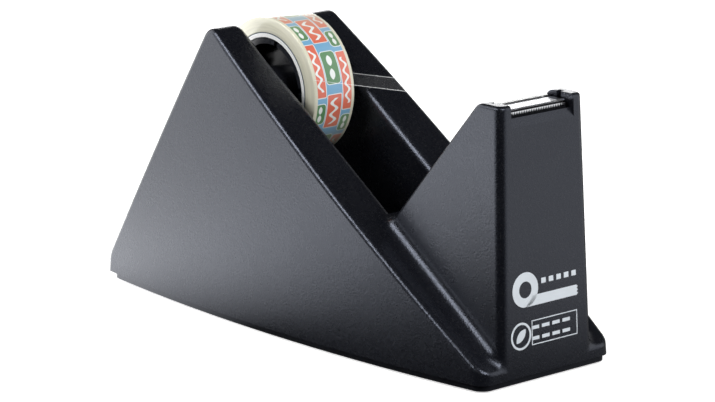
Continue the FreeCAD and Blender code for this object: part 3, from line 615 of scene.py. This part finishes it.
class Grower:
    """A geometry node tree built in the script, and its result as a plain mesh."""

    def __init__(self, name: str, inputs: dict[str, str]) -> None:
        """Start a tree.

        Args:
            name: the tree's name.
            inputs: kind of socket by name, besides the geometry and the finish.
        """
        self.tree = bpy.data.node_groups.new(name, "GeometryNodeTree")
        face = self.tree.interface
        face.new_socket("Geometry", in_out="INPUT", socket_type="NodeSocketGeometry")
        self.sockets = {key: face.new_socket(key, in_out="INPUT", socket_type=f"NodeSocket{kind}")
                        for key, kind in {**inputs, "Finish": "Material"}.items()}
        face.new_socket("Geometry", in_out="OUTPUT", socket_type="NodeSocketGeometry")
        self.wires = Wiring(self.tree)
        self.source = self.wires.add("NodeGroupInput").outputs

    def finish(self, shape: bpy.types.NodeSocket) -> None:
        """End the tree with Realize Instances and Set Material."""
        real = self.wires.add("GeometryNodeRealizeInstances", Geometry=shape)
        dressed = self.wires.add("GeometryNodeSetMaterial", Geometry=real.outputs[0],
                                 Material=self.source["Finish"])
        sink = self.wires.add("NodeGroupOutput")
        self.wires.feed(sink.inputs["Geometry"], dressed.outputs[0])

    def grow(self, name: str, start: bpy.types.Mesh, values: dict[str, object],
             material: bpy.types.Material) -> bpy.types.Object:
        """Run the tree on a mesh.

        Args:
            name: name of the new piece.
            start: the mesh that goes in.
            values: value of each named input.
            material: the piece's finish.

        Returns:
            The piece, a plain mesh with its faces outwards.
        """
        carrier = bpy.data.objects.new(f"{name}_carrier", start)
        bpy.context.scene.collection.objects.link(carrier)
        modifier = carrier.modifiers.new(name, "NODES")
        modifier.node_group = self.tree
        for key, value in {**values, "Finish": material}.items():
            modifier[self.sockets[key].identifier] = value
        carrier.update_tag()
        graph = bpy.context.evaluated_depsgraph_get()
        mesh = bpy.data.meshes.new_from_object(carrier.evaluated_get(graph),
                                               preserve_all_data_layers=True, depsgraph=graph)
        carrier.modifiers.remove(modifier)
        bpy.data.objects.remove(carrier)
        return new_piece(name, mesh, material)


def new_piece(name: str, mesh: bpy.types.Mesh, material: bpy.types.Material,
              smooth_angle: float = 40.0) -> bpy.types.Object:
    """Make a piece from a mesh: faces outwards, smooth by angle, one finish.

    Args:
        name: the piece's name.
        mesh: its mesh, already in place.
        material: its finish.
        smooth_angle: edges sharper than this many degrees stay sharp.

    Returns:
        The piece.
    """
    shape = bmesh.new()
    shape.from_mesh(mesh)
    bmesh.ops.remove_doubles(shape, verts=shape.verts, dist=0.001 * MM)
    bmesh.ops.recalc_face_normals(shape, faces=shape.faces)
    for edge in shape.edges:
        edge.smooth = edge.is_manifold and edge.calc_face_angle(0.0) < math.radians(smooth_angle)
    for face in shape.faces:
        face.smooth = True
        face.material_index = 0
    shape.to_mesh(mesh)
    shape.free()
    mesh.materials.clear()
    mesh.materials.append(material)
    mesh.name = name
    piece = bpy.data.objects.new(name, mesh)
    bpy.context.scene.collection.objects.link(piece)
    return piece


def extruded(outer: Outline, inner: Outline | None, thickness: float,
             place: Matrix) -> bmesh.types.BMesh:
    """Make a thin flat solid, or a thin ring where an inner outline is given.

    Args:
        outer: its outline, anticlockwise.
        inner: the hole's outline, with as many points as the outer one, or None.
        thickness: its thickness along the local z axis, from 0 upwards.
        place: matrix from its own frame to the scene.

    Returns:
        The solid.
    """
    shape = bmesh.new()
    count = len(outer)
    levels = []
    for height in (0.0, thickness):
        levels.append([shape.verts.new((x, y, height)) for x, y in outer])
        if inner:
            levels.append([shape.verts.new((x, y, height)) for x, y in inner])
    if inner:
        low_out, low_in, high_out, high_in = levels
        for i in range(count):
            j = (i + 1) % count
            shape.faces.new((high_out[i], high_out[j], high_in[j], high_in[i]))
            shape.faces.new((low_out[j], low_out[i], low_in[i], low_in[j]))
            shape.faces.new((low_out[i], low_out[j], high_out[j], high_out[i]))
            shape.faces.new((low_in[j], low_in[i], high_in[i], high_in[j]))
    else:
        low, high = levels
        shape.faces.new(high)
        shape.faces.new(low[::-1])
        for i in range(count):
            j = (i + 1) % count
            shape.faces.new((low[i], low[j], high[j], high[i]))
    shape.transform(place)
    return shape


def joined(shapes: list[bmesh.types.BMesh], name: str) -> bpy.types.Mesh:
    """Join solids into one mesh and free them."""
    mesh = bpy.data.meshes.new(name)
    whole = bmesh.new()
    for shape in shapes:
        part = bpy.data.meshes.new("part")
        shape.to_mesh(part)
        shape.free()
        whole.from_mesh(part)
        bpy.data.meshes.remove(part)
    whole.to_mesh(mesh)
    whole.free()
    return mesh


def circle(radius: float, count: int, x: float = 0.0, y: float = 0.0) -> Outline:
    """Return points round a circle, anticlockwise."""
    return [(x + radius * math.cos(2 * math.pi * i / count),
             y + radius * math.sin(2 * math.pi * i / count)) for i in range(count)]


def dress(node: str, material: bpy.types.Material) -> None:
    """Put a finish in every material slot of a CAD node."""
    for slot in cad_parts[node].material_slots:
        slot.material = material
    LOG.info("dressed %s in %s", node, material.name)


def settle(piece: bpy.types.Object, body: Body, slot: str, *nodes: str) -> None:
    """Hang a piece on the empty of the body it rides on and hide the CAD nodes it stands for."""
    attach(piece, body.value)
    if nodes:
        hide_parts(*nodes)
    LOG.info("piece %s: %d faces, rides on %s", piece.name, len(piece.data.polygons), body.value)


# ---------------------------------------------------------------- sub-assemblies


@dataclass
class Housing:
    """The black moulded housing with its base and the print on its front."""

    groups: ShaderGroups
    front_lean: float = math.radians(2.7)
    print_thickness: float = 0.04 * MM
    print_sink: float = 0.015 * MM
    ring_middle: tuple[float, float] = (-7.0 * MM, 22.9 * MM)
    ring_radii: tuple[float, float] = (4.2 * MM, 2.0 * MM)
    tail_end: float = 9.9 * MM
    tail_height: float = 2.5 * MM
    tail_teeth: int = 3
    dash_count: int = 5
    dash_pitch: float = 2.5 * MM
    dash_first: tuple[float, float] = (-1.0 * MM, 24.2 * MM)
    dash_size: tuple[float, float] = (1.5 * MM, 1.3 * MM)
    bar_rows: int = 2
    bar_count: int = 4
    bar_first: tuple[float, float] = (-4.0 * MM, 13.4 * MM)
    bar_pitch: tuple[float, float] = (3.4 * MM, 2.6 * MM)
    bar_size: tuple[float, float] = (2.5 * MM, 0.85 * MM)
    label_low: tuple[float, float] = (-5.2 * MM, 9.2 * MM)
    label_high: tuple[float, float] = (9.9 * MM, 15.2 * MM)
    label_line: float = 0.24 * MM
    leaf_middle: tuple[float, float] = (-8.7 * MM, 12.0 * MM)
    leaf_radii: tuple[float, float] = (3.3 * MM, 2.75 * MM)
    ink: bpy.types.Material = field(init=False)

    def build(self) -> None:
        """Dress the CAD nodes and print the front."""
        self._dress()
        self.ink = ScreenPrint("white_ink", (0.8, 0.86, 0.92)).make(self.groups)
        pieces = [new_piece("tape_mark", self._tape_mark(), self.ink),
                  new_piece("label_mark", self._label(), self.ink),
                  self._dashes("cut_dashes", 1, self.dash_count, self.dash_first,
                               (self.dash_pitch, 0.0), self.dash_size),
                  self._dashes("label_bars", self.bar_rows, self.bar_count, self.bar_first,
                               self.bar_pitch, self.bar_size)]
        for piece in pieces:
            settle(piece, Body.HOUSING, "liner_print")

    def _dress(self) -> None:
        """Give every CAD node of the housing its finish."""
        groups = self.groups
        blue_grey = (0.75, 0.815, 1.0)
        shell = MouldedPlastic("housing_plastic", (0.0022, 0.0026, 0.0045), 0.34, 2300.0,
                               0.024 * MM, blue_grey, painted_glint=0.014)
        plate = MouldedPlastic("base_plastic", (0.003, 0.0033, 0.005), 0.4, 2600.0, 0.015 * MM,
                               blue_grey, painted_glint=0.006)
        dress("housing", shell.make(groups))
        dress("base_plate", plate.make(groups))
        dress("anti_slip_mat", FoamRubber("mat_rubber", (0.02, 0.02, 0.021)).make(groups))
        zinc = RolledSteel("screw_steel", (0.62, 0.64, 0.67), 0.35, (900.0, 900.0, 4000.0))
        dress("base_screws", zinc.make(groups))
        stone = CastMineral("ballast_stone", (0.45, 0.43, 0.4)).make(groups)
        dress("ballast_left", stone)
        dress("ballast_right", stone)

    def _front_place(self) -> Matrix:
        """Return the matrix from the front face's own frame, y across and z up, to the scene."""
        low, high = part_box("housing")
        lean = self.front_lean
        foot = Vector((high[0] + math.tan(lean) * low[2], 0.0, 0.0))
        foot -= self.print_sink * Vector((math.cos(lean), 0.0, math.sin(lean)))
        turn = Matrix(((0.0, -math.sin(lean), math.cos(lean)),
                       (1.0, 0.0, 0.0),
                       (0.0, math.cos(lean), math.sin(lean)))).to_4x4()
        return Matrix.Translation(foot) @ turn

    def _tape_mark(self) -> bpy.types.Mesh:
        """Make the pictogram of a roll of tape with a cut length."""
        place = self._front_place()
        x, y = self.ring_middle
        outer, inner = self.ring_radii
        ring = extruded(circle(outer, 64, x, y), circle(inner, 64, x, y),
                        self.print_thickness, place)
        floor = y - outer
        tail = [(x, floor), (self.tail_end, floor)]
        step = self.tail_height / (2 * self.tail_teeth)
        for i in range(1, 2 * self.tail_teeth):
            tail.append((self.tail_end + (step if i % 2 else 0.0), floor + i * step))
        tail += [(self.tail_end, floor + self.tail_height),
                 (x + 0.62 * outer, floor + self.tail_height)]
        return joined([ring, extruded(tail, None, self.print_thickness, place)], "tape_mark")

    def _label(self) -> bpy.types.Mesh:
        """Make the thin frame and the leaf in its ring."""
        place = self._front_place()
        (x0, y0), (x1, y1) = self.label_low, self.label_high
        line = self.label_line
        edge = extruded([(x0, y0), (x1, y0), (x1, y1), (x0, y1)],
                        [(x0 + line, y0 + line), (x1 - line, y0 + line),
                         (x1 - line, y1 - line), (x0 + line, y1 - line)],
                        self.print_thickness, place)
        x, y = self.leaf_middle
        outer, inner = self.leaf_radii
        ring = extruded(circle(outer, 56, x, y), circle(inner, 56, x, y),
                        self.print_thickness, place)
        leaf = extruded(self._leaf_outline(x, y, inner * 0.78), None, self.print_thickness, place)
        return joined([edge, ring, leaf], "label_mark")

    @staticmethod
    def _leaf_outline(x: float, y: float, reach: float, count: int = 14) -> Outline:
        """Return a slanting leaf: two arcs that meet in points."""
        points = []
        spread = math.radians(52.0)
        radius = reach / math.sin(spread)
        for side in (1, -1):
            for i in range(count):
                angle = side * (-spread + 2 * spread * i / count)
                along = side * radius * math.sin(angle) * side
                across = side * (radius * math.cos(angle) - radius * math.cos(spread))
                points.append((x + (along - across) * math.sqrt(0.5),
                               y + (along + across) * math.sqrt(0.5)))
        return points[::-1]

    def _dashes(self, name: str, rows: int, count: int, first: tuple[float, float],
                pitch: tuple[float, float], size: tuple[float, float]) -> bpy.types.Object:
        """Make rows of small printed bars with geometry nodes.

        Args:
            name: the piece's name.
            rows: how many rows, downwards.
            count: bars in a row.
            first: middle of the first bar, across and up.
            pitch: distance between bars, across and down.
            size: width and height of a bar.

        Returns:
            The piece.
        """
        grower = Grower(f"{name}_tree", {"Across": "Int", "Down": "Int", "Pitch": "Vector",
                                         "Fall": "Vector", "Bar": "Vector", "First": "Vector"})
        wires, source = grower.wires, grower.source
        row = wires.add("GeometryNodeMeshLine", Count=source["Across"], Offset=source["Pitch"],
                        Start_Location=source["First"])
        column = wires.add("GeometryNodeMeshLine", Count=source["Down"], Offset=source["Fall"])
        bar = wires.add("GeometryNodeMeshCube", Size=source["Bar"])
        bars = wires.add("GeometryNodeInstanceOnPoints", Points=row.outputs[0],
                         Instance=bar.outputs[0])
        grid = wires.add("GeometryNodeInstanceOnPoints", Points=column.outputs[0],
                         Instance=bars.outputs[0])
        grower.finish(grid.outputs[0])
        thick = self.print_thickness
        piece = grower.grow(name, bpy.data.meshes.new(f"{name}_start"), {
            "Across": count, "Down": rows, "Pitch": (pitch[0], 0.0, 0.0),
            "Fall": (0.0, -pitch[1], 0.0), "Bar": (*size, thick),
            "First": (*first, thick / 2)}, self.ink)
        piece.data.transform(self._front_place())
        return piece


@dataclass
class Cutter:
    """The black insert on the tower and its toothed steel blade."""

    groups: ShaderGroups
    tooth_count: int = 24
    tooth_depth: float = 0.75 * MM
    sheet: float = 0.4 * MM
    bend: float = 0.5 * MM
    bend_steps: int = 6

    def build(self) -> None:
        """Dress the insert and make the blade."""
        satin = MouldedPlastic("insert_plastic", (0.006, 0.0065, 0.0085), 0.3, 3000.0, 0.01 * MM)
        dress("blade_carrier", satin.make(self.groups))
        low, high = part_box("blade")
        # The band from near the tooth roots up to the bend is painted dark reflection on the front
        # flange.
        steel = RolledSteel("blade_steel", (0.8, 0.81, 0.84), 0.26, (5000.0, 90.0, 5000.0),
                            (low[2] + 0.9 * self.tooth_depth, high[2] - 0.35 * self.bend))
        blade = self._blade(steel.make(self.groups))
        settle(blade, Body.HOUSING, "blade_steel", "blade")

    def _blade(self, material: bpy.types.Material) -> bpy.types.Object:
        """Make the folded strip, with its teeth set in a row by geometry nodes."""
        low, high = (Vector(corner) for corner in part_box("blade"))
        pitch = (high[1] - low[1]) / self.tooth_count
        grower = Grower("blade_teeth_tree", {"Count": "Int", "First": "Vector", "Pitch": "Vector",
                                             "Radius": "Float", "Sheet": "Float",
                                             "Stretch": "Vector"})
        wires, source = grower.wires, grower.source
        row = wires.add("GeometryNodeMeshLine", Count=source["Count"], Offset=source["Pitch"],
                        Start_Location=source["First"])
        prism = wires.add("GeometryNodeMeshCylinder", Vertices=3, Radius=source["Radius"],
                          Depth=source["Sheet"])
        shaped = wires.add("GeometryNodeTransform", Geometry=prism.outputs["Mesh"],
                           Scale=source["Stretch"])
        upright = wires.add("GeometryNodeTransform", Geometry=shaped.outputs[0],
                            Rotation=(0.0, math.pi / 2, 0.0))
        teeth = wires.add("GeometryNodeInstanceOnPoints", Points=row.outputs[0],
                          Instance=upright.outputs[0])
        both = wires.add("GeometryNodeJoinGeometry")
        wires.feed(both.inputs[0], source["Geometry"])
        wires.feed(both.inputs[0], teeth.outputs[0])
        grower.finish(both.outputs[0])
        radius = self.tooth_depth / 1.5
        middle_z = low[2] + radius
        return grower.grow("toothed_blade", self._strip(low, high), {
            "Count": self.tooth_count,
            "First": (high[0] - self.sheet / 2, low[1] + pitch / 2, middle_z),
            "Pitch": (0.0, pitch, 0.0), "Radius": radius, "Sheet": self.sheet * 0.96,
            "Stretch": (1.0, 0.98 * pitch / (math.sqrt(3) * radius), 1.0)}, material)

    def _strip(self, low: Vector, high: Vector) -> bpy.types.Mesh:
        """Make the folded strip: a top flange, a rounded bend and a front flange."""
        bend, sheet = self.bend, self.sheet
        root = low[2] + 0.98 * self.tooth_depth
        outer, inner = [], []
        for i in range(self.bend_steps + 1):
            angle = math.pi / 2 * (1 - i / self.bend_steps)
            for points, radius in ((outer, bend), (inner, bend - sheet)):
                points.append((high[0] - bend + radius * math.cos(angle),
                               high[2] - bend + radius * math.sin(angle)))
        profile = [(low[0], high[2]), *outer, (high[0], root), (high[0] - sheet, root),
                   *inner[::-1], (low[0], high[2] - sheet)]
        upright = Matrix(((1, 0, 0, 0), (0, 0, 1, low[1]), (0, 1, 0, 0), (0, 0, 0, 1)))
        solid = extruded([(x, z) for x, z in profile], None, high[1] - low[1], upright)
        return joined([solid], "blade_strip")


@dataclass
class Roll:
    """The hub, the core, the printed liner and the wound tape."""

    groups: ShaderGroups
    segments: int = 240
    edge_radius: float = 0.25 * MM
    edge_points: int = 4

    def build(self) -> None:
        """Dress the hub, the core and the liner, and wind the tape."""
        groups = self.groups
        hub = MouldedPlastic("hub_plastic", (0.012, 0.013, 0.017), 0.3, 2600.0, 0.012 * MM)
        core = MouldedPlastic("core_plastic", (0.8, 0.81, 0.8), 0.4, 2200.0, 0.01 * MM)
        dress("hub", hub.make(groups))
        dress("roll_core", core.make(groups))
        dress("printed_liner", ScreenPrint("liner_print", (0.03, 0.07, 0.12)).make(groups))
        low, high = (Vector(corner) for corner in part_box("tape_winding"))
        middle = (low + high) / 2
        radius = (high[2] - low[2]) / 2
        inner = (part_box("printed_liner")[1][2] - middle[2])
        tape = PrintedTape("winding_film", (middle[0], middle[2]), radius)
        piece = self._winding(middle, inner, radius, high[1] - low[1], tape.make(groups))
        settle(piece, Body.ROLL, "winding_film", "tape_winding")

    def _winding(self, middle: Vector, inner: float, outer: float, width: float,
                 material: bpy.types.Material) -> bpy.types.Object:
        """Make the wound ring: a rounded section carried round the axis by geometry nodes.

        Args:
            middle: centre of the roll.
            inner: inside radius of the winding.
            outer: outside radius.
            width: width of the tape.
            material: its finish.

        Returns:
            The piece.
        """
        grower = Grower("tape_winding_tree", {"Segments": "Int", "Middle": "Vector",
                                              "Middle Radius": "Float", "Depth": "Float",
                                              "Width": "Float", "Edge": "Float"})
        wires, source = grower.wires, grower.source
        path = wires.add("GeometryNodeCurvePrimitiveCircle", Resolution=source["Segments"],
                         Radius=source["Middle Radius"])
        section = wires.add("GeometryNodeCurvePrimitiveQuadrilateral", Width=source["Depth"],
                            Height=source["Width"])
        rounded = wires.add("GeometryNodeFilletCurve", {"mode": "POLY"}, Curve=section.outputs[0],
                            Count=self.edge_points, Radius=source["Edge"])
        ring = wires.add("GeometryNodeCurveToMesh", Curve=path.outputs[0],
                         Profile_Curve=rounded.outputs[0])
        placed = wires.add("GeometryNodeTransform", Geometry=ring.outputs[0],
                           Translation=source["Middle"], Rotation=(math.pi / 2, 0.0, 0.0))
        grower.finish(placed.outputs[0])
        return grower.grow("tape_winding_film", bpy.data.meshes.new("winding_start"), {
            "Segments": self.segments, "Middle": tuple(middle),
            "Middle Radius": (inner + outer) / 2, "Depth": outer - inner, "Width": width,
            "Edge": self.edge_radius}, material)


@dataclass
class DrawnTape:
    """The clear length of tape from the roll to the blade."""

    groups: ShaderGroups

    def build(self) -> None:
        """Dress the strip."""
        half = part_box("tape_strip")[1][1]
        film = ClearStrip("strip_film", (0.93, 0.95, 0.96), half)
        dress("tape_strip", film.make(self.groups))


# ---------------------------------------------------------------- studio


@dataclass(frozen=True)
class Softbox:
    """A soft rectangular light aimed at one point."""

    name: str
    place: tuple[float, float, float]
    target: tuple[float, float, float]
    size: tuple[float, float]
    power: float
    colour: Colour = (1.0, 1.0, 1.0)

    def build(self) -> None:
        """Add the light."""
        light = bpy.data.lights.new(self.name, "AREA")
        light.shape = "RECTANGLE"
        light.size, light.size_y = self.size
        light.energy = self.power
        light.color = self.colour
        lamp = bpy.data.objects.new(self.name, light)
        lamp.location = self.place
        aim = Vector(self.place) - Vector(self.target)
        lamp.rotation_euler = aim.to_track_quat("Z", "Y").to_euler()
        bpy.context.scene.collection.objects.link(lamp)


@dataclass
class Studio:
    """The camera, the pale floor, the soft lights and the surroundings."""

    camera_place: tuple[float, float, float] = (0.62247, -0.55211, 0.23378)
    azimuth: float = 48.255
    elevation: float = 13.741
    roll: float = -0.081
    lens: float = 173.08
    floor_size: float = 8.0
    lights: tuple[Softbox, ...] = (
        Softbox("key_left", (-0.85, -0.42, 0.42), (0.0, 0.0, 0.03), (0.95, 0.8), 5.0),
        Softbox("near_top", (-0.25, -0.85, 0.75), (0.0, 0.0, 0.05), (0.6, 0.4), 9.0),
        Softbox("right_top", (0.9, -0.1, 0.75), (0.0, 0.0, 0.05), (0.6, 0.5), 9.5),
        Softbox("far_left", (-0.8, 0.75, 0.22), (-0.02, 0.0, 0.05), (0.7, 0.3), 2.5),
    )
    sky_dim: float = 0.012
    # bearing of the middle and half width of each bright wall, its top, all in degrees; its level
    sky_panels: tuple[tuple[float, float, float, float], ...] = (
        (203.0, 20.0, 30.0, 0.35),
        (135.0, 30.0, 22.0, 0.8),
        (48.0, 24.0, 42.0, 1.5),
    )
    paper_glow: float = 0.62
    glow_left: float = 3.9
    glow_right: float = 1.15

    def build(self) -> None:
        """Add the camera, the floor, the lights and the surroundings."""
        self._camera()
        self._floor()
        for light in self.lights:
            light.build()
        self._surroundings()
        bpy.context.scene.view_settings.view_transform = "Standard"

    def _camera(self) -> None:
        """Add the camera and make it the scene's."""
        data = bpy.data.cameras.new("camera")
        data.sensor_width = 36.0
        data.lens = self.lens
        camera = bpy.data.objects.new("camera", data)
        turn, rise = math.radians(self.azimuth), math.radians(self.elevation)
        back = Vector((math.sin(turn) * math.cos(rise), -math.cos(turn) * math.cos(rise),
                       math.sin(rise)))
        aim = back.to_track_quat("Z", "Y").to_matrix().to_4x4()
        roll = Matrix.Rotation(math.radians(self.roll), 4, "Z")
        camera.matrix_world = Matrix.Translation(self.camera_place) @ aim @ roll
        bpy.context.scene.collection.objects.link(camera)
        bpy.context.scene.camera = camera

    def _floor(self) -> None:
        """Add the pale floor: white to the camera, while other rays see painted pools of glow on
        it.
        """
        half = self.floor_size / 2
        mesh = bpy.data.meshes.new("floor")
        mesh.from_pydata([(-half, -half, 0), (half, -half, 0), (half, half, 0), (-half, half, 0)],
                         [], [(0, 1, 2, 3)])
        floor = bpy.data.objects.new("floor", mesh)
        bpy.context.scene.collection.objects.link(floor)
        material = bpy.data.materials.new("floor_paper")
        material.use_nodes = True
        tree = material.node_tree
        tree.nodes.clear()
        wires = Wiring(tree)
        seen = wires.add("ShaderNodeLightPath").outputs["Is Camera Ray"]
        shown = wires.add("ShaderNodeBsdfPrincipled", Base_Color=(0.9, 0.9, 0.9, 1.0),
                          Roughness=0.9, Emission_Color=(1.0, 1.0, 1.0, 1.0),
                          Emission_Strength=self.paper_glow)
        # Painted light: pools of glow laid on the floor by place, strong to the left and milder to
        # the far right, seen only by rays other than the camera's.
        place = wires.add("ShaderNodeTexCoord").outputs["Object"]
        axes = wires.add("ShaderNodeSeparateXYZ", Vector=place)
        left = wires.below(axes.outputs["X"], -0.05, 0.04)
        away = wires.below(axes.outputs["X"], -0.19, 0.07)
        left = wires.math("MULTIPLY", left, wires.math("MULTIPLY_ADD", away, -0.42, 1.0))
        right = wires.math("SUBTRACT", 1.0, wires.below(axes.outputs["X"], 0.1, 0.05))
        far = wires.math("SUBTRACT", 1.0, wires.below(axes.outputs["Y"], 0.02, 0.05))
        right = wires.math("MULTIPLY", right, far)
        glow = wires.math("ADD", wires.math("MULTIPLY", left, self.glow_left),
                          wires.math("MULTIPLY", right, self.glow_right))
        painted_floor_glow = wires.add("ShaderNodeEmission", Strength=wires.math("ADD", glow, 0.03))
        mixed = wires.add("ShaderNodeMixShader", Fac=seen)
        tree.links.new(painted_floor_glow.outputs[0], mixed.inputs[1])
        tree.links.new(shown.outputs[0], mixed.inputs[2])
        output = wires.add("ShaderNodeOutputMaterial")
        tree.links.new(mixed.outputs[0], output.inputs["Surface"])
        mesh.materials.append(material)

    def _surroundings(self) -> None:
        """Make the surroundings: bright near the horizon and dim above."""
        world = bpy.data.worlds.new("studio")
        bpy.context.scene.world = world
        world.use_nodes = True
        tree = world.node_tree
        wires = Wiring(tree)
        direction = wires.add("ShaderNodeTexCoord").outputs["Generated"]
        axes = wires.add("ShaderNodeSeparateXYZ", Vector=direction)
        bearing = wires.math("DEGREES", wires.math("ARCTAN2", axes.outputs["Y"], axes.outputs["X"]))
        height = wires.math("DEGREES", wires.math("ARCSINE", axes.outputs["Z"]))
        light: object = self.sky_dim
        for middle, width, top, level in self.sky_panels:
            off = wires.math("ABSOLUTE", wires.math("WRAP", wires.math(
                "SUBTRACT", bearing, middle), 180.0, -180.0))
            patch = wires.math("MULTIPLY", wires.below(off, width, 10.0),
                               wires.below(height, top, 9.0))
            light = wires.math("MULTIPLY_ADD", patch, level, light)
        background = tree.nodes["Background"]
        wires.feed(background.inputs["Color"], (1.0, 1.0, 1.0, 1.0))
        wires.feed(background.inputs["Strength"], light)


def main() -> None:
    """Build the studio and every sub-assembly."""
    logging.basicConfig(level=logging.INFO, format="%(message)s")
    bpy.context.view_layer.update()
    Studio().build()
    groups = ShaderGroups()
    for assembly in (Housing(groups), Cutter(groups), Roll(groups), DrawnTape(groups)):
        assembly.build()
        LOG.info("built %s", type(assembly).__name__)


if __name__ == "__main__":
    main()
